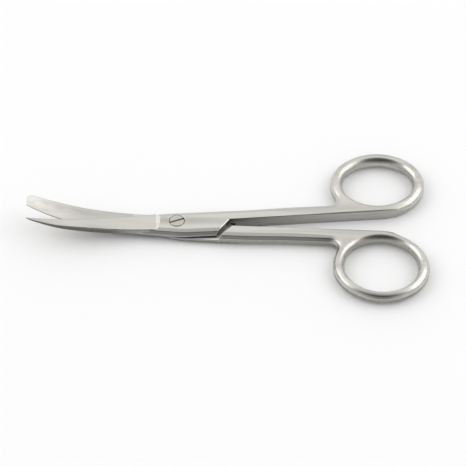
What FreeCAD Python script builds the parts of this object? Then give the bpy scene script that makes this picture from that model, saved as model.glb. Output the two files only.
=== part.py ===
"""Dissecting scissors, 145 mm, curved on the flat, one sharp and one blunt tip, lap joint with a slotted screw.

Frame: millimetres, origin on the pivot axis at the underside, +Z up along the pivot, +X from the pivot towards
the finger rings. Both halves are laid out closed, in plan round the pivot, and then opened by half of
rest_opening each. The sharp half lies on top at the joint, its ring on the +Y side and its blade's spine on the
-Y side. The blunt half is turned over: ring on the -Y side, lap underneath, spine on the +Y side.
"""
import FreeCAD, Part
import math
import os

V = FreeCAD.Vector
UP = V(0, 0, 1)

# Rings
thickness = 5.0              # shanks, rings and closed joint
ring_centre_x = 74.0         # along the scissors from the pivot
ring_length = 34.3           # outside, along the scissors, both rings
sharp_ring_y = 14.8          # ring centre of the sharp half, from the axis when closed
sharp_ring_width = 29.9      # outside, across
sharp_opening_length = 25.7  # finger opening of the sharp half, at its narrowest
sharp_opening_width = 20.8
blunt_ring_y = 14.9          # the same for the blunt half, whose opening is the larger one
blunt_ring_width = 31.0
blunt_opening_length = 26.2
blunt_opening_width = 23.6
opening_flare = 1.7          # how much wider an opening is all round at the faces than at mid-height
shallow_bevel = 2.26         # the outer edges are ground off in two bevels: the first one starts this far in
shallow_tilt = 20.0          # and falls off at this angle
steep_bevel = 1.16           # the second one, as far in as it would start on its own
steep_tilt = 57.0
neck_radius = 3.0            # hollow corner between shank and ring
run_out_angle = 27.0         # at which a ring's round outside leaves its flat inner side
run_out_round = 20.0
inner_bend_x = 75.0          # where the flat inner side begins to bend away into the ring
inner_bend_round = 30.0

# Shanks and joint, in plan: distances of their sides from the axis
heel_x = -16.0               # where the joint's round sides run out into the blade
waist_start_x = 24.5         # middle of the bends between the joint's width and the shanks'
waist_end_x = 41.5
waist_round = 275.0
joint_round = 30.0           # bend between blade and joint
far_heel = 3.5               # sharp half's outer side, +Y, at the heel
far_joint = 4.62             # beside the pivot
far_joint_x = -3.5           # where it reaches that width
far_shank = 5.2              # along the shank
near_heel = 3.6              # blunt half's outer side, -Y, at the same places
near_joint = 6.3
near_joint_x = 2.0
near_shank = 5.25
parting_at_pivot = -1.1      # line along which the closed shanks meet, beside the pivot
parting_at_ring = 0.45       # the same line beside the ring centres
shank_gap = 0.72             # air between the shanks when closed

# Lap joint
lap_end = 14.8               # end of each lap, square from the pivot to its slanted edge
lap_angle = 50.0             # slant of that edge to the axis
lap_clearance = 1.2          # from a lap's end to the other half's step
lap_bevel = 0.3              # on the outer edge of a lap's end
mating_gap = 0.06            # air between the two halves at the joint face
rest_opening = 7.0           # angle between the halves as they lie

# Blades
shoulder_x = -6.1            # top of the ground shoulder between joint and blade
shoulder_run = 1.4           # length of its slope
blade_reach = 53.9           # pivot to tip, in plan
bend_start = 7.0             # radius from the pivot at which the blades begin to curve
bend_radius = 125.0          # curve of the blades, rising over the flat
blade_thickness = 1.88       # middle of the blade, from the shoulder on
taper_start = 33.0           # from here to the tip the blades get thinner
face_tilt = 5.0              # the outer face falls from spine to edge
spine_bevel = 0.3            # on the outer edge of the spine, thinning out with the blade
bevel_angle = 25.0           # cutting bevel, from upright
edge_heel_x = -9.4           # where the cutting edges begin

# Sharp blade
sharp_spine = 3.75           # spine from the axis
sharp_spine_bend = 0.8       # middle of the spine's bend, as a share of the reach
sharp_spine_round = 118.0
sharp_nose_length = 1.5      # bluntly pointed end
sharp_nose_width = 0.6
sharp_edge_heel = 4.66       # cutting edge from the axis at its heel
sharp_tip_y = -1.66          # tip, on the spine's side of the axis
sharp_edge_bow = 0.2         # outward bow of the edge in plan
sharp_tip_thickness = 0.2

# Blunt blade
blunt_spine_heel = 4.1       # spine from the axis, at the shoulder
blunt_spine = 3.2            # spine from the axis, on the outer half
blunt_spine_bend = 0.6       # where it reaches that, as a share of the reach
blunt_nose_round = 3.4       # round of the nose on the spine's side
blunt_corner_round = 1.35    # round between nose and edge
blunt_edge_heel = 5.3        # cutting edge from the axis at its heel
blunt_edge_tip = 2.0         # the same at the tip
blunt_edge_lean = 0.2        # share of that narrowing which is even; the rest comes near the tip
blunt_tip_thickness = 0.62

# Pivot screw
head_diameter = 5.3
head_depth = 1.25
head_clearance = 0.16        # round the head, in the counterbore
rim_bevel = 0.12             # on the rims of head and counterbore
stem_diameter = 3.2
stem_clearance = 0.04        # running fit in the sharp half
slot_width = 0.75
slot_depth = 0.9
slot_angle = 21.0            # direction of the slot as the scissors lie

mating = thickness / 2
half_gap = mating_gap / 2
slant = math.radians(lap_angle)
tilt = math.tan(math.radians(face_tilt))
bevel = math.tan(math.radians(bevel_angle))
lap_end_x = lap_end / math.sin(slant)
blade_root = shoulder_x - shoulder_run
beyond = 12.0                # how far cutting tools reach past the material
oval_joint = 50.0            # direction, from the long axis, in which an oval's end and side arcs meet
edge_steps = 9               # stretches of the curves that follow the blades' bend


def parting(x):
    """Line between the closed shanks, as a distance from the axis."""
    return parting_at_pivot + (parting_at_ring - parting_at_pivot) * x / ring_centre_x


def rise(r):
    """Height of the curved joint face over its flat middle, at radius r from the pivot."""
    run = max(r - bend_start, 0)
    return bend_radius - math.sqrt(bend_radius ** 2 - run ** 2)


def along(start, end, x):
    """Share of the way from start to end at x."""
    return (x - start) / (end - start)


def direction(angle):
    """Level unit vector at this angle to the X axis, in degrees."""
    return V(math.cos(math.radians(angle)), math.sin(math.radians(angle)), 0)


def chain(points):
    """Straight edges from point to point."""
    return [Part.makeLine(a, b) for a, b in zip(points, points[1:])]


def arc(start, middle, end):
    return Part.Arc(start, middle, end).toShape()


def curve(points):
    spline = Part.BSplineCurve()
    spline.interpolate(points)
    return spline.toShape()


def rounded(corners):
    """Straight edges through corners (x, y, radius), with a tangent arc of its radius at each inner corner."""
    edges = []
    last = V(corners[0][0], corners[0][1], 0)
    for before, corner, after in zip(corners, corners[1:], corners[2:]):
        point = V(corner[0], corner[1], 0)
        back = V(before[0], before[1], 0) - point
        ahead = V(after[0], after[1], 0) - point
        shorter = min(back.Length, ahead.Length)
        back.normalize()
        ahead.normalize()
        half = back.getAngle(ahead) / 2
        run = min(corner[2] / math.tan(half), 0.45 * shorter)
        if run < 0.01:
            edges += chain([last, point])
            last = point
            continue
        start = point + back * run
        end = point + ahead * run
        sagitta = run / math.cos(half) - run * math.tan(half)
        middle = point + (back + ahead).normalize() * sagitta
        edges += chain([last, start]) + [arc(start, middle, end)]
        last = end
    return edges + chain([last, V(corners[-1][0], corners[-1][1], 0)])


def prism(edges, direction):
    """Solid swept from a closed outline along a vector."""
    return Part.Face(Part.Wire(edges)).extrude(direction)


def polygon_prism(corners, bottom, top):
    points = [V(x, y, bottom) for x, y in corners]
    return prism(chain(points + points[:1]), V(0, 0, top - bottom))


def edges_where(shape, test):
    return [edge for edge in shape.Edges if test(edge.BoundBox, edge.CenterOfMass)]


class Oval:
    """Four tangent arcs round a centre, with the given full length along X and full width along Y."""

    def __init__(self, centre, length, width):
        meet = math.radians(oval_joint)
        self.centre = centre
        self.end_centre = (length - width) / 2 / (1 + math.tan(meet) - 1 / math.cos(meet))
        self.end_radius = length / 2 - self.end_centre
        self.side_centre = self.end_centre * math.tan(meet)
        self.side_radius = width / 2 + self.side_centre

    def hub(self, angle):
        """Centre and radius of the arc whose outward direction has this angle, in degrees."""
        outward = direction(angle)
        if abs(outward.x) > direction(oval_joint).x:
            return self.centre + V(math.copysign(self.end_centre, outward.x), 0, 0), self.end_radius
        return self.centre - V(0, math.copysign(self.side_centre, outward.y), 0), self.side_radius

    def at(self, angle):
        """Point of the outline whose outward direction has this angle."""
        centre, radius = self.hub(angle)
        return centre + direction(angle) * radius

    def arcs(self, start, end):
        joints = [k * 180 + way * oval_joint for k in range(-1, 3) for way in (-1, 1)]
        stops = [start] + [angle for angle in joints if start < angle < end] + [end]
        return [arc(self.at(a), self.at((a + b) / 2), self.at(b)) for a, b in zip(stops, stops[1:])]


    def plug(self, flare):
        """What an opening with half-round sides leaves out: the oval at mid-height, wider by flare at both faces."""
        solid = None
        for middle in (0, 90, 180, 270):
            centre, radius = self.hub(middle)
            half = 90 - oval_joint if middle % 180 else oval_joint
            outward = direction(middle - half)
            foot = centre + outward * (radius + flare)
            waist = centre + outward * radius + UP * mating
            profile = [arc(foot, waist, foot + UP * thickness)]
            profile += chain([foot + UP * thickness, centre + UP * thickness, centre, foot])
            wedge = Part.Face(Part.Wire(profile)).revolve(centre, UP, 2 * half)
            solid = solid.fuse(wedge) if solid else wedge
        return solid.removeSplitter()


def crowned(blank, edges):
    """Grind edges off in a shallow and a steep bevel, each measured down the side and inwards on the face."""
    body = blank
    for inwards, angle in ((shallow_bevel, shallow_tilt), (steep_bevel, steep_tilt)):
        body = body.common(blank.makeChamfer(inwards * math.tan(math.radians(angle)), inwards, edges))
    return body


def handle(outer, inner, ring_y, ring_width, opening_length, opening_width):
    """Ring, shank and joint of one half at full thickness, its ring on the +Y side.

    outer and inner are the two sides from the heel on, as corners (x, distance from the axis, radius).
    """
    centre = V(ring_centre_x, ring_y, 0)
    ring = Oval(centre, ring_length, ring_width)
    shank_y = outer[-1][1]
    end_centre, end_radius = ring.hub(180)
    meets_at = 180 + math.degrees(math.asin((ring_y - shank_y - neck_radius) / (end_radius + neck_radius)))
    neck = end_centre + direction(meets_at) * (end_radius + neck_radius)
    neck_end = V(neck.x, shank_y, 0)
    neck_middle = neck + (direction(meets_at + 180) + direction(-90)).normalize() * neck_radius
    leaves_at = run_out_angle - 90
    leaving = ring.at(leaves_at)
    inner_y = -inner[-1][1]
    run_out_x = leaving.x - (leaving.y - inner_y) / math.tan(math.radians(run_out_angle))

    lower = [(x, -y, radius) for x, y, radius in inner] + [(run_out_x, inner_y, run_out_round)]
    outline = rounded(lower + [(leaving.x, leaving.y, 0)]) + ring.arcs(leaves_at, meets_at)
    outline += [arc(ring.at(meets_at), neck_middle, neck_end)]
    outline += rounded([(neck_end.x, neck_end.y, 0)] + outer[::-1])
    outline += chain([V(heel_x, outer[0][1], 0), V(heel_x, -inner[0][1], 0)])
    blank = prism(outline, UP * thickness)
    flat = edges_where(blank, lambda box, mid: box.ZLength < 0.01 and abs(mid.x - heel_x) > 0.01)
    return crowned(blank, flat).cut(Oval(centre, opening_length, opening_width).plug(opening_flare))


def lap(blank, parting_side):
    """Cut the inner side, the lap in the upper layer and the step under it.

    parting_side is 1 where the parting line's distances count as they are, and -1 for the turned half.
    """
    def inner_side(x):
        return parting_side * parting(x) + shank_gap / 2

    def on_slant(reach, y_sign):
        """Where a line at the lap's slant, square to it at this reach, meets the inner side, and one further out."""
        x = reach / math.sin(slant)
        for again in range(4):
            x = (reach + y_sign * inner_side(x) * math.cos(slant)) / math.sin(slant)
        corner = (x, inner_side(x))
        return corner, (x - beyond * math.cos(slant), corner[1] - y_sign * beyond * math.sin(slant))

    corner, out = on_slant(lap_end, 1)
    bend = V(inner_bend_x, inner_side(inner_bend_x), -1)
    ahead = V(1, inner_side(1) - inner_side(0), 0).normalize()

    def bent(angle):
        """Point of the arc in which the inner side bends away, after turning by this angle."""
        turn = math.radians(angle)
        return bend + (ahead * math.sin(turn) + UP.cross(ahead) * (1 - math.cos(turn))) * inner_bend_round

    below = [V(bent(60).x, out[1], -1), V(out[0], out[1], -1), V(corner[0], corner[1], -1)]
    inner_cut = prism([arc(bend, bent(30), bent(60))] + chain([bent(60)] + below + [bend]), UP * (thickness + 2))
    square = direction(lap_angle - 90)
    edge = V(corner[0], corner[1], thickness)
    bevel_cut = prism(chain([edge, edge - square * lap_bevel, edge - UP * lap_bevel, edge]),
                      direction(lap_angle) * -beyond)
    step_corner, step_out = on_slant(lap_end + lap_clearance, -1)
    under_cut = [step_corner, step_out, (-beyond - lap_end_x, step_out[1]),
                 (-beyond - lap_end_x, -beyond), (step_corner[0], -beyond)]
    return blank.cut(inner_cut).cut(bevel_cut).cut(polygon_prism(under_cut, -1, mating + half_gap))


def blade_thickness_at(x, tip_thickness):
    """Thickness in the middle of the blade: even from the shoulder on, then thinning out to the tip."""
    taper = max(-x - taper_start, 0) / (blade_reach - taper_start)
    return blade_thickness + (tip_thickness - blade_thickness) * taper ** 1.2


def outer_face(side, x, tip_thickness):
    """Height of the blade's outer face over the axis."""
    return mating + rise(-x) + side * blade_thickness_at(x, tip_thickness)


def blade(side, spine_corners, edge_at, tip_thickness):
    """Rough blade with its plan outline, its cutting bevel and the bevel of its spine.

    side is 1 for the sharp half, spine on the -Y side and above the joint face, and -1 for the blunt half.
    spine_corners run from the root to the tip as (x, distance from the axis, radius), and edge_at(x) is the
    cutting edge's distance from the axis on the other side.
    """
    height = mating + rise(blade_reach) + thickness
    root = 2 * beyond
    outline = rounded([(x, -side * y, radius) for x, y, radius in spine_corners])
    tip_x = spine_corners[-1][0]
    outline += chain([V(tip_x, -side * spine_corners[-1][1], 0), V(tip_x, side * root, 0),
                      V(blade_root, side * root, 0), V(blade_root, -side * spine_corners[0][1], 0)])
    upright = prism(outline, UP * height)

    def spine_at(x):
        """Distance of the spine from the axis, without the rounds."""
        stretches = [(a, b) for a, b in zip(spine_corners, spine_corners[1:]) if b[0] < a[0]]
        before, after = [stretch for stretch in stretches if stretch[0][0] >= x][-1]
        return before[1] + (after[1] - before[1]) * along(before[0], after[0], x)

    end = -blade_reach - 3
    edge_line = []
    spine_line = []
    for x in [blade_root + (end - blade_root) * k / edge_steps for k in range(edge_steps + 1)]:
        level = mating + rise(math.hypot(x, edge_at(x)))
        edge_line.append(V(x, side * edge_at(x) + level * bevel, 0))
        spine = spine_at(x)
        width = spine_bevel * blade_thickness_at(x, tip_thickness) / blade_thickness
        spine_line.append(V(x, side * (width - spine - tilt * spine) - outer_face(side, x, tip_thickness), 0))

    def behind(line, sign):
        """Closed outline of what lies on one side of a line along the blade."""
        return [curve(line)] + chain([line[-1], V(end, sign * root, 0), V(blade_root, sign * root, 0), line[0]])

    slanted = prism(behind(edge_line, -side), V(0, -height * bevel, height))
    bevelled = prism(behind(spine_line, side * 2), V(0, height, height))
    return upright.common(slanted).common(bevelled)


def joint_face_tool(side):
    """What lies beyond the curved joint face on the blades' side of the pivot, turned round the pivot's axis."""
    level = mating + side * half_gap
    reach = blade_reach + 6
    far = level - side * 40
    half_way = (bend_start + reach) / 2
    bent = arc(V(0, bend_start, level), V(0, half_way, level + rise(half_way)), V(0, reach, level + rise(reach)))
    profile = [bent] + chain([V(0, reach, level + rise(reach)), V(0, reach, far), V(0, 0, far),
                              V(0, 0, level), V(0, bend_start, level)])
    return Part.Face(Part.Wire(profile)).revolve(V(0, 0, 0), UP, 180)


def outer_face_tool(side, tip_thickness):
    """What the grinding takes off outside the blade: a sloped shoulder and a face that thins out to the tip."""
    end = -blade_reach - 4
    stations = [blade_root + (end - blade_root) * k / edge_steps for k in range(edge_steps + 1)]
    points = [V(x, 0, outer_face(side, x, tip_thickness)) for x in stations]
    outside = mating + side * 40
    lip = V(shoulder_x + shoulder_run, 0, mating + side * (mating + (mating - blade_thickness)))
    profile = [curve(points)] + chain([points[-1], V(end, 0, outside), V(lip.x, 0, outside), lip, points[0]])
    width = 2 * beyond
    tool = prism(profile, V(0, 2 * width, -2 * width * tilt))
    tool.translate(V(0, -width, width * tilt))
    return tool


def round_bar(radius, bottom, top):
    return Part.makeCylinder(radius, top - bottom, V(0, 0, bottom))


def sharp_half():
    body = lap(handle(far_side, near_side, sharp_ring_y, sharp_ring_width, sharp_opening_length,
                      sharp_opening_width), 1)
    tip_x = -blade_reach
    nose_x = tip_x + sharp_nose_length
    nose_y = -sharp_tip_y + sharp_nose_width
    spine = [(blade_root, sharp_spine, 0), (tip_x * sharp_spine_bend, sharp_spine, sharp_spine_round),
             (nose_x, nose_y, sharp_nose_length), (tip_x, -sharp_tip_y, 0)]

    def edge_at(x):
        share = along(edge_heel_x, tip_x, x)
        return sharp_edge_heel + (sharp_tip_y - sharp_edge_heel) * share + 4 * sharp_edge_bow * share * (1 - share)

    body = body.fuse(blade(1, spine, edge_at, sharp_tip_thickness))
    body = body.cut(joint_face_tool(1)).cut(outer_face_tool(1, sharp_tip_thickness))
    head_seat = thickness - head_depth
    body = body.cut(round_bar(stem_diameter / 2 + stem_clearance, 0, thickness))
    bore = head_diameter / 2 + head_clearance
    rim = Part.makeCone(bore, bore + rim_bevel, rim_bevel, V(0, 0, thickness - rim_bevel))
    return body.cut(round_bar(bore, head_seat - mating_gap, thickness)).cut(rim)


def blunt_half():
    body = lap(handle(near_side, far_side, blunt_ring_y, blunt_ring_width, blunt_opening_length,
                      blunt_opening_width), -1)
    body.rotate(V(0, 0, mating), V(1, 0, 0), 180)
    tip_x = -blade_reach
    past_corner = tip_x + 3 * blunt_corner_round

    def edge_at(x):
        share = along(edge_heel_x, tip_x, x)
        narrowed = blunt_edge_lean * share + (1 - blunt_edge_lean) * max(share, 0) ** 4
        return blunt_edge_heel + (blunt_edge_tip - blunt_edge_heel) * narrowed

    spine = [(blade_root, blunt_spine_heel, 0), (tip_x * blunt_spine_bend, blunt_spine, sharp_spine_round),
             (tip_x, blunt_spine, blunt_nose_round), (tip_x, -blunt_edge_tip, blunt_corner_round),
             (past_corner, -edge_at(past_corner) - mating_gap, 0)]
    body = body.fuse(blade(-1, spine, edge_at, blunt_tip_thickness))
    body = body.cut(joint_face_tool(-1)).cut(outer_face_tool(-1, blunt_tip_thickness))
    return body.cut(round_bar(stem_diameter / 2, 0, thickness))


def pivot_screw():
    seat = thickness - head_depth
    head = round_bar(head_diameter / 2, seat, thickness)
    head = head.makeChamfer(rim_bevel, edges_where(head, lambda box, mid: box.ZMin > thickness - 0.01))
    screw = round_bar(stem_diameter / 2, 0, seat).fuse(head)
    slot = Part.makeBox(2 * head_diameter, slot_width, slot_depth,
                        V(-head_diameter, -slot_width / 2, thickness - slot_depth))
    slot.rotate(V(0, 0, 0), UP, slot_angle)
    return screw.removeSplitter().cut(slot)


def side_corners(heel, joint, joint_x, shank):
    return [(heel_x, heel, 0), (joint_x, joint, joint_round), (waist_start_x, joint, waist_round),
            (waist_end_x, shank, waist_round)]


far_side = side_corners(far_heel, far_joint, far_joint_x, far_shank)
near_side = side_corners(near_heel, near_joint, near_joint_x, near_shank)
sharp = sharp_half()
sharp.rotate(V(0, 0, 0), UP, rest_opening / 2)
blunt = blunt_half()
blunt.rotate(V(0, 0, 0), UP, -rest_opening / 2)

os.makedirs("parts", exist_ok=True)
for name, shape in {"sharp_tip_half": sharp, "blunt_tip_half": blunt, "pivot_screw": pivot_screw()}.items():
    shape = shape.removeSplitter()
    shape.exportStep("parts/" + name + ".step")
    print(name, "solids", len(shape.Solids), "faces", len(shape.Faces), "valid", shape.isValid(),
          "volume %.1f" % shape.Volume)
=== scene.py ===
"""Looks of the dissecting scissors: two satin steel halves and a slotted pivot screw on white paper."""

import math

import bpy
from mathutils import Matrix, Vector


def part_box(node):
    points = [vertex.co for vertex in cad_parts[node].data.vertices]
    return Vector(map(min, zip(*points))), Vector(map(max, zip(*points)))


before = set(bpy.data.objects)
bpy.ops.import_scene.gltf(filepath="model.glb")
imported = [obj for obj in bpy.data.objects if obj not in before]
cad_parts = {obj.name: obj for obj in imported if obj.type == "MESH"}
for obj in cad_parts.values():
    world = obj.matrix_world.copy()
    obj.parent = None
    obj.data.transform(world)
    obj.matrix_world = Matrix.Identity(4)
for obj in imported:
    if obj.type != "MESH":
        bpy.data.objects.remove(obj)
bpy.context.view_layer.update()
MM = 0.001


# Blunt-tipped half
# One stainless forging, the lower half at the joint, with the larger ring and the round-nosed blade.
# It was ground to shape on a belt, then bead blasted, which leaves an even satin grey without direction
# over faint lines of the belt.
def srgb(code):
    """Linear colour of an sRGB hex code."""
    parts = [int(code[k:k + 2], 16) / 255 for k in (1, 3, 5)]
    return [c / 12.92 if c <= 0.04045 else ((c + 0.055) / 1.055) ** 2.4 for c in parts] + [1]


def add_node(owner, kind, settings=None, links=None):
    """Add a shader node. Settings go to attributes or inputs, links give the socket that feeds an input."""
    tree = owner.node_tree
    node = tree.nodes.new(kind)
    for name, value in (settings or {}).items():
        if isinstance(name, str) and hasattr(node, name):
            setattr(node, name, value)
        else:
            node.inputs[name].default_value = value
    for name, source in (links or {}).items():
        tree.links.new(source, node.inputs[name])
    return node


def bare_material(name):
    """A material without nodes."""
    material = bpy.data.materials.new(name)
    material.use_nodes = True
    material.node_tree.nodes.clear()
    return material


GRIT = 0.22 * MM          # a bead's dimple is about 0.05 mm; drawn four times as coarse to show
BELT_LINE = 0.12 * MM     # spacing of the belt's lines under the blasting
BELT_RUN = 40             # length of a belt line over its width
STREAK = 3.2 * MM         # width of the faint streaks that hand grinding leaves along the pieces
STREAK_RUN = 14           # length of a streak over its width
STREAK_PLACE = 3.3        # slides the streaks sideways
STREAK_TONES = ((0.32, "#cccac3"), (0.5, "#d9d7d0"), (0.68, "#dfddd6"))
EDGE_SOFTNESS = 0.4 * MM  # the edges of shank and blade are broken this much
RING_SOFTNESS = 1.0 * MM  # the rings are tumbled rounder
SHADE_BAND = 2.4 * MM      # half width of the band of painted shade along the middle of the joint
CREVICE = 3.0 * MM        # how far the painted shade reaches out of the gaps at the joint

# Stretches along the pieces: x is 0 at the screw, negative towards the tips, positive towards the rings.
INNER_FACE_LIGHT_RUN = (-50 * MM, -32 * MM)  # the blade's inner face goes from a painted highlight to a little painted shade
BLADE_SIDE = (-24 * MM, -16 * MM)  # the painted shade on the sides goes from the blade's darker one to the handle's
HEEL = -16 * MM                    # the blade's inner face ends here
SHOULDER = (-7.6 * MM, -6.0 * MM)  # the slope where grinding the blade stopped, with a painted highlight
LAP_ENDS = (4 * MM, 22 * MM)       # the upright steps where the lap ends, with painted shade in their gap
BAND_FADE = (6 * MM, 26 * MM)      # the band of painted shade fades out
JOINT_END = (19 * MM, 25 * MM)     # the joint's painted shade ends
SHANK = (25 * MM, 65 * MM)         # the painted shade on the sides that face the other half turns lighter
NECK = (45 * MM, 60 * MM)          # the edges turn from shank to ring

# Painted light and shade, as what the colour is divided by, as an addition to 1: positive is painted shade,
# negative a painted highlight.
TIP_HIGHLIGHT, HEEL_SHADE = -0.22, 0.17
LAP_END_SHADE = 3.0
SHOULDER_HIGHLIGHT = -0.22
BAND_SHADE = 0.38

# Painted shade, as what the colour is multiplied with.
BLADE_SIDE_SHADE, HANDLE_SIDE_SHADE = 0.25, 0.5
SHANK_INNER_SIDE, RING_INNER_SIDE = -0.05, 0.2  # added to the handle's painted side shade
CREVICE_SHADE = 0.25


def blasted_steel(name, inner):
    """Bead-blasted stainless: warm light grey, broad soft reflections, fine grain and a trace of belt lines.

    The blade's inner face is ground; a painted shade makes it a little darker at the heel and a painted
    highlight brighter towards the tip. It looks up for inner 1 and down for -1. The colour also carries
    painted shade on the upright sides, in the joint's gaps, on the lap's end steps and in a band along the
    joint, and a painted highlight on the shoulder's slope.
    """
    steel = bare_material(name)
    place = add_node(steel, "ShaderNodeTexCoord")
    spot = add_node(steel, "ShaderNodeSeparateXYZ", links={"Vector": place.outputs["Object"]})
    facing = add_node(steel, "ShaderNodeSeparateXYZ", links={"Vector": place.outputs["Normal"]})

    # Relief of the blasting and of the belt, on edges that are rounded off.
    grain = add_node(steel, "ShaderNodeTexNoise", {"Scale": 1 / GRIT, "Detail": 2.0, "Roughness": 0.6},
                     {"Vector": place.outputs["Object"]})
    belt_size = (1 / (BELT_RUN * BELT_LINE), 1 / BELT_LINE, 1 / BELT_LINE)
    along = add_node(steel, "ShaderNodeMapping", {"Scale": belt_size}, {"Vector": place.outputs["Object"]})
    lines = add_node(steel, "ShaderNodeTexNoise", {"Scale": 1.0, "Detail": 3.0, "Roughness": 0.7},
                     {"Vector": along.outputs["Vector"]})
    relief = add_node(steel, "ShaderNodeMath", {"operation": "MULTIPLY_ADD", 1: 0.5},
                      {0: lines.outputs["Fac"], 2: grain.outputs["Fac"]})
    round_off = add_node(steel, "ShaderNodeMapRange",
                         {"From Min": NECK[0], "From Max": NECK[1],
                          "To Min": EDGE_SOFTNESS, "To Max": RING_SOFTNESS},
                         {"Value": spot.outputs["X"]})
    soft_edges = add_node(steel, "ShaderNodeBevel", {"samples": 12}, {"Radius": round_off.outputs["Result"]})
    bump = add_node(steel, "ShaderNodeBump", {"Strength": 0.12, "Distance": 0.03 * MM},
                    {"Height": relief.outputs["Value"], "Normal": soft_edges.outputs["Normal"]})

    # Faint streaks in colour and gloss.
    streak_size = (1 / (STREAK_RUN * STREAK), 1 / STREAK, 1 / STREAK)
    stretched = add_node(steel, "ShaderNodeMapping", {"Scale": streak_size, "Location": (0, STREAK_PLACE, 0)},
                         {"Vector": place.outputs["Object"]})
    streaks = add_node(steel, "ShaderNodeTexNoise", {"Scale": 1.0, "Detail": 2.0, "Roughness": 0.5},
                       {"Vector": stretched.outputs["Vector"]})
    colour = add_node(steel, "ShaderNodeValToRGB", links={"Fac": streaks.outputs["Fac"]})
    colour.color_ramp.elements.new(0.5)
    for element, (position, code) in zip(colour.color_ramp.elements, STREAK_TONES):
        element.position = position
        element.color = srgb(code)
    dull = add_node(steel, "ShaderNodeMapRange",
                    {"From Min": 0.3, "From Max": 0.7, "To Min": 0.26, "To Max": 0.3},
                    {"Value": streaks.outputs["Fac"]})

    # Painted shade: the upright sides are painted darker than the faces, most of all along the blade, and the
    # sides that face the other half lighter towards the rings.
    painted_side_shade = add_node(steel, "ShaderNodeMapRange",
                         {"From Min": BLADE_SIDE[0], "From Max": BLADE_SIDE[1],
                          "To Min": BLADE_SIDE_SHADE, "To Max": HANDLE_SIDE_SHADE},
                         {"Value": spot.outputs["X"]})
    inner_side = add_node(steel, "ShaderNodeMath", {"operation": "MULTIPLY", 1: inner, "use_clamp": True},
                          {0: facing.outputs["Y"]})
    to_ring = add_node(steel, "ShaderNodeMapRange",
                       {"From Min": SHANK[0], "From Max": SHANK[1],
                        "To Min": SHANK_INNER_SIDE, "To Max": RING_INNER_SIDE},
                       {"Value": spot.outputs["X"]})
    sides = add_node(steel, "ShaderNodeMath", {"operation": "MULTIPLY_ADD"},
                     {0: inner_side.outputs["Value"], 1: to_ring.outputs["Result"],
                      2: painted_side_shade.outputs["Result"]})
    upward = add_node(steel, "ShaderNodeMath", {"operation": "ABSOLUTE"}, {0: facing.outputs["Z"]})
    painted_flank_shade = add_node(steel, "ShaderNodeMapRange",
                     {"interpolation_type": "SMOOTHSTEP", "From Min": 0.1, "From Max": 0.8, "To Max": 1.0},
                     {"Value": upward.outputs["Value"], "To Min": sides.outputs["Value"]})

    # Painted shade in the gaps at the joint, darker where ambient occlusion finds them close.
    openness = add_node(steel, "ShaderNodeAmbientOcclusion", {"samples": 8, "Distance": CREVICE})
    crevice_shade = add_node(steel, "ShaderNodeMapRange",
                     {"From Min": 0.2, "From Max": 0.6, "To Min": CREVICE_SHADE, "To Max": 1.0},
                     {"Value": openness.outputs["AO"]})
    off_joint = add_node(steel, "ShaderNodeMapRange", {"From Min": JOINT_END[0], "From Max": JOINT_END[1]},
                         {"Value": spot.outputs["X"]})
    gap = add_node(steel, "ShaderNodeMath", {"operation": "MAXIMUM"},
                   {0: crevice_shade.outputs["Result"], 1: off_joint.outputs["Result"]})
    edgewise = add_node(steel, "ShaderNodeMath", {"operation": "MULTIPLY"},
                        {0: painted_flank_shade.outputs["Result"], 1: gap.outputs["Value"]})

    # Painted highlight towards the tip and painted shade at the heel, on the blade's ground inner face.
    inwards = add_node(steel, "ShaderNodeMath", {"operation": "MULTIPLY", 1: inner}, {0: facing.outputs["Z"]})
    inner_face = add_node(steel, "ShaderNodeMapRange", {"From Min": 0.7, "From Max": 0.85},
                          {"Value": inwards.outputs["Value"]})
    painted_inner_face_light = add_node(steel, "ShaderNodeMapRange",
                      {"From Min": INNER_FACE_LIGHT_RUN[0], "From Max": INNER_FACE_LIGHT_RUN[1],
                       "To Min": TIP_HIGHLIGHT, "To Max": HEEL_SHADE},
                      {"Value": spot.outputs["X"]})
    blade = add_node(steel, "ShaderNodeMath", {"operation": "LESS_THAN", 1: HEEL}, {0: spot.outputs["X"]})
    on_blade = add_node(steel, "ShaderNodeMath", {"operation": "MULTIPLY"},
                        {0: blade.outputs["Value"], 1: inner_face.outputs["Result"]})
    painted_blade_light = add_node(steel, "ShaderNodeMath", {"operation": "MULTIPLY_ADD", 2: 1.0},
                      {0: on_blade.outputs["Value"], 1: painted_inner_face_light.outputs["Result"]})

    # Faces that look along the piece: painted shade on the steps at the lap's ends, a painted highlight on
    # the slope at the shoulder.
    endways = add_node(steel, "ShaderNodeMath", {"operation": "ABSOLUTE"}, {0: facing.outputs["X"]})
    step_shade = add_node(steel, "ShaderNodeMapRange",
                    {"From Min": 0.6, "From Max": 0.7, "To Min": 0.0, "To Max": LAP_END_SHADE},
                    {"Value": endways.outputs["Value"]})
    at_joint = add_node(steel, "ShaderNodeMath",
                        {"operation": "COMPARE", 1: sum(LAP_ENDS) / 2, 2: (LAP_ENDS[1] - LAP_ENDS[0]) / 2},
                        {0: spot.outputs["X"]})
    dim = add_node(steel, "ShaderNodeMath", {"operation": "MULTIPLY_ADD"},
                   {0: at_joint.outputs["Value"], 1: step_shade.outputs["Result"], 2: painted_blade_light.outputs["Value"]})
    slope = add_node(steel, "ShaderNodeMapRange",
                     {"From Min": 0.15, "From Max": 0.3, "To Min": 0.0, "To Max": SHOULDER_HIGHLIGHT},
                     {"Value": endways.outputs["Value"]})
    at_shoulder = add_node(steel, "ShaderNodeMath",
                           {"operation": "COMPARE", 1: sum(SHOULDER) / 2, 2: (SHOULDER[1] - SHOULDER[0]) / 2},
                           {0: spot.outputs["X"]})
    painted_shoulder_highlight = add_node(steel, "ShaderNodeMath", {"operation": "MULTIPLY_ADD"},
                         {0: at_shoulder.outputs["Value"], 1: slope.outputs["Result"],
                          2: dim.outputs["Value"]})
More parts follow.
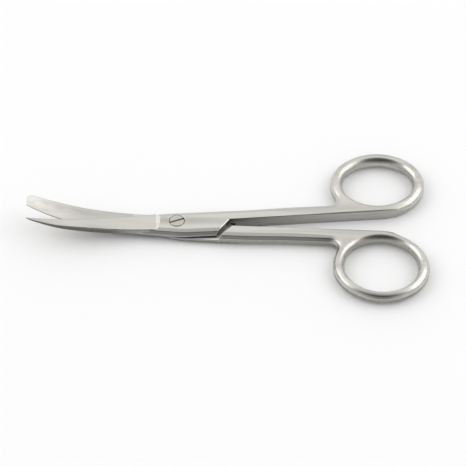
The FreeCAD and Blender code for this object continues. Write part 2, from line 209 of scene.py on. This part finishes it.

    # Painted shade: a darker band along the middle of the joint.
    off_axis = add_node(steel, "ShaderNodeMath", {"operation": "ABSOLUTE"}, {0: spot.outputs["Y"]})
    painted_shade_band = add_node(steel, "ShaderNodeMapRange",
                         {"interpolation_type": "SMOOTHSTEP", "From Max": SHADE_BAND,
                          "To Min": BAND_SHADE, "To Max": 0.0},
                         {"Value": off_axis.outputs["Value"]})
    on_joint = add_node(steel, "ShaderNodeMapRange",
                        {"From Min": BAND_FADE[0], "From Max": BAND_FADE[1], "To Min": 1.0, "To Max": 0.0},
                        {"Value": spot.outputs["X"]})
    past_shoulder = add_node(steel, "ShaderNodeMath", {"operation": "GREATER_THAN", 1: SHOULDER[1]},
                             {0: spot.outputs["X"]})
    banded = add_node(steel, "ShaderNodeMath", {"operation": "MULTIPLY"},
                      {0: on_joint.outputs["Result"], 1: past_shoulder.outputs["Value"]})
    painted_light_divisor = add_node(steel, "ShaderNodeMath", {"operation": "MULTIPLY_ADD"},
                    {0: banded.outputs["Value"], 1: painted_shade_band.outputs["Result"],
                     2: painted_shoulder_highlight.outputs["Value"]})

    # The colour is multiplied with the painted shade of sides and gaps and divided by the other painted light
    # and shade.
    shade = add_node(steel, "ShaderNodeMath", {"operation": "DIVIDE"},
                     {0: edgewise.outputs["Value"], 1: painted_light_divisor.outputs["Value"]})
    shaded = add_node(steel, "ShaderNodeVectorMath", {"operation": "SCALE"},
                      {0: colour.outputs["Color"], "Scale": shade.outputs["Value"]})
    shader = add_node(steel, "ShaderNodeBsdfPrincipled", {"Metallic": 1.0},
                      {"Base Color": shaded.outputs["Vector"], "Roughness": dull.outputs["Result"],
                       "Normal": bump.outputs["Normal"]})
    add_node(steel, "ShaderNodeOutputMaterial", links={"Surface": shader.outputs["BSDF"]})
    return steel


def dress(node, material):
    """Give a CAD piece its finish."""
    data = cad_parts[node].data
    data.materials.clear()
    data.materials.append(material)


dress("blunt_tip_half", blasted_steel("bead blasted stainless steel, blunt half", 1))


# Sharp-tipped half
# The other forging, on top at the joint, counterbored for the screw's head and ground to a pointed blade.
# It went through the same blasting.
dress("sharp_tip_half", blasted_steel("bead blasted stainless steel, sharp half", -1))


# Pivot screw
# Turned from stainless bar, slotted, its flat head sunk flush in the upper half.
# Turning leaves fine rings round its axis, and a tone a touch darker and duller than the blasted halves.
RING_PITCH = 1.885 * MM     # turning marks are about 0.05 mm apart; a few broad ones stand for them
WAVE_RADIANS = 20           # the wave texture's phase per unit of length at scale 1
SCREW_SOFTNESS = 0.08 * MM  # the screw's edges are hardly broken


def turned_steel(name):
    """Turned stainless: an even light grey with faint rings round the axis."""
    steel = bare_material(name)
    place = add_node(steel, "ShaderNodeTexCoord")
    ring_scale = 2 * math.pi / (WAVE_RADIANS * RING_PITCH)
    rings = add_node(steel, "ShaderNodeTexWave",
                     {"wave_type": "RINGS", "rings_direction": "Z", "Scale": ring_scale, "Distortion": 0.4},
                     {"Vector": place.outputs["Object"]})
    soft_edges = add_node(steel, "ShaderNodeBevel", {"samples": 6, "Radius": SCREW_SOFTNESS})
    bump = add_node(steel, "ShaderNodeBump", {"Strength": 0.1, "Distance": 0.02 * MM},
                    {"Height": rings.outputs["Fac"], "Normal": soft_edges.outputs["Normal"]})
    shader = add_node(steel, "ShaderNodeBsdfPrincipled",
                      {"Base Color": srgb("#cdcac2"), "Metallic": 1.0, "Roughness": 0.34},
                      {"Normal": bump.outputs["Normal"]})
    add_node(steel, "ShaderNodeOutputMaterial", links={"Surface": shader.outputs["BSDF"]})
    return steel


dress("pivot_screw", turned_steel("turned stainless steel"))


# Floor
# A sheet of matt white paper that the scissors lie on.
FLOOR_REACH = 3.0
FLOOR_DROP = 0.02 * MM  # keeps the sheet just clear of the steel


def white_paper():
    """Matt white paper: almost white, without gloss."""
    paper = bare_material("matt white paper")
    shader = add_node(paper, "ShaderNodeBsdfPrincipled", {"Base Color": srgb("#f6f6f6"), "Roughness": 0.9})
    add_node(paper, "ShaderNodeOutputMaterial", links={"Surface": shader.outputs["BSDF"]})
    return paper


floor_mesh = bpy.data.meshes.new("floor")
corners = [(x * FLOOR_REACH, y * FLOOR_REACH, -FLOOR_DROP) for x, y in ((-1, -1), (1, -1), (1, 1), (-1, 1))]
floor_mesh.from_pydata(corners, [], [(0, 1, 2, 3)])
floor = bpy.data.objects.new("floor", floor_mesh)
bpy.context.scene.collection.objects.link(floor)
floor_mesh.materials.append(white_paper())


# Camera
# The photograph's view: about 50 degrees above the table from the side of the larger ring, from 750 mm away,
# with the screw's head at its place in the picture.
PICTURE = 466
ELEVATION = math.radians(49.5)
AZIMUTH = math.radians(0.4)
DISTANCE = 750 * MM
PIXEL = 0.36 * MM         # what one pixel covers at the screw
SCREW_PIXEL = (176.8, 220.4)

screw_top = Vector((0, 0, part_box("pivot_screw")[1].z))
right = Vector((math.cos(AZIMUTH), math.sin(AZIMUTH), 0))
level = Vector((math.sin(AZIMUTH), -math.cos(AZIMUTH), 0))
back = level * math.cos(ELEVATION) + Vector((0, 0, math.sin(ELEVATION)))
up = back.cross(right)
aside = (PICTURE / 2 - SCREW_PIXEL[0]) * PIXEL
above = (SCREW_PIXEL[1] - PICTURE / 2) * PIXEL
camera_data = bpy.data.cameras.new("camera")
camera_data.sensor_width = 36
camera_data.lens = DISTANCE / PIXEL * camera_data.sensor_width / PICTURE
camera_data.clip_start = 0.01
camera = bpy.data.objects.new("camera", camera_data)
turn = Matrix((right, up, back)).transposed().to_4x4()
camera.matrix_world = Matrix.Translation(screw_top + right * aside + up * above + back * DISTANCE) @ turn
bpy.context.scene.collection.objects.link(camera)
bpy.context.scene.camera = camera


# Light
# A pale room with a soft box on each side, and a dark place round the camera where the photographer stands:
# the flat faces show the pale wall behind, the rounded edges turn dark towards the camera, and the boxes
# give the bright spots where the rings turn towards them. Only the metal shows the dark place, the paper
# gets the room's light from all sides, more of it from the back.
BOX_DISTANCE = 1.2
BOX_SIZE = (1.0, 0.7)
BOX_RADIANCE = 1.25
BOX_PLACE = (8, 42)       # degrees: round from the side towards the back, and up
DARK_PLACE = (20, 54)     # degrees from the camera's direction: dark up to the first, pale from the second
WALL_TONE, DARK_TONE = 0.94, 0.04
LOW_WALL = (0.2, 0.7)     # upward part of the direction between which the wall reaches its full tone
LOW_WALL_TONE = 0.8
FRONT_DAYLIGHT, BACK_DAYLIGHT = 0.55, 1.2


def soft_box(name, side):
    """A soft box to the left (-1) or the right (1), turned to the scissors."""
    data = bpy.data.lights.new(name, "AREA")
    data.shape = "RECTANGLE"
    data.size, data.size_y = BOX_SIZE
    data.energy = BOX_RADIANCE * math.pi * BOX_SIZE[0] * BOX_SIZE[1]
    lamp = bpy.data.objects.new(name, data)
    around, up = (math.radians(angle) for angle in BOX_PLACE)
    towards = Vector((side * math.cos(around) * math.cos(up), math.sin(around) * math.cos(up), math.sin(up)))
    lamp.location = BOX_DISTANCE * towards
    lamp.rotation_euler = (-towards).to_track_quat("-Z", "Y").to_euler()
    bpy.context.scene.collection.objects.link(lamp)


soft_box("left soft box", -1)
soft_box("right soft box", 1)

room = bpy.data.worlds.new("pale room")
bpy.context.scene.world = room
room.use_nodes = True
room.node_tree.nodes.clear()
look = add_node(room, "ShaderNodeTexCoord")
side = add_node(room, "ShaderNodeSeparateXYZ", links={"Vector": look.outputs["Generated"]})

# The wall that the metal shows, with the dark place in it.
nearness = add_node(room, "ShaderNodeVectorMath", {"operation": "DOT_PRODUCT", 1: back},
                    {0: look.outputs["Generated"]})
inner, outer = (math.cos(math.radians(angle)) for angle in DARK_PLACE)
tone = add_node(room, "ShaderNodeMapRange",
                {"interpolation_type": "SMOOTHSTEP", "From Min": outer, "From Max": inner,
                 "To Min": WALL_TONE, "To Max": DARK_TONE},
                {"Value": nearness.outputs["Value"]})
low = add_node(room, "ShaderNodeMapRange",
               {"From Min": LOW_WALL[0], "From Max": LOW_WALL[1], "To Min": LOW_WALL_TONE, "To Max": 1.0},
               {"Value": side.outputs["Z"]})
glow = add_node(room, "ShaderNodeMath", {"operation": "MULTIPLY"},
                {0: tone.outputs["Result"], 1: low.outputs["Result"]})
wall = add_node(room, "ShaderNodeBackground", {"Color": srgb("#fcfcfc")}, {"Strength": glow.outputs["Value"]})

# The daylight that everything else gets.
day = add_node(room, "ShaderNodeMapRange",
               {"From Min": -1.0, "From Max": 1.0, "To Min": FRONT_DAYLIGHT, "To Max": BACK_DAYLIGHT},
               {"Value": side.outputs["Y"]})
daylight = add_node(room, "ShaderNodeBackground", {"Color": srgb("#fcfcfc")},
                    {"Strength": day.outputs["Result"]})
path = add_node(room, "ShaderNodeLightPath")
either = add_node(room, "ShaderNodeMixShader",
                  links={0: path.outputs["Is Glossy Ray"], 1: daylight.outputs["Background"],
                         2: wall.outputs["Background"]})
add_node(room, "ShaderNodeOutputWorld", links={"Surface": either.outputs["Shader"]})
bpy.context.scene.view_settings.view_transform = "Standard"
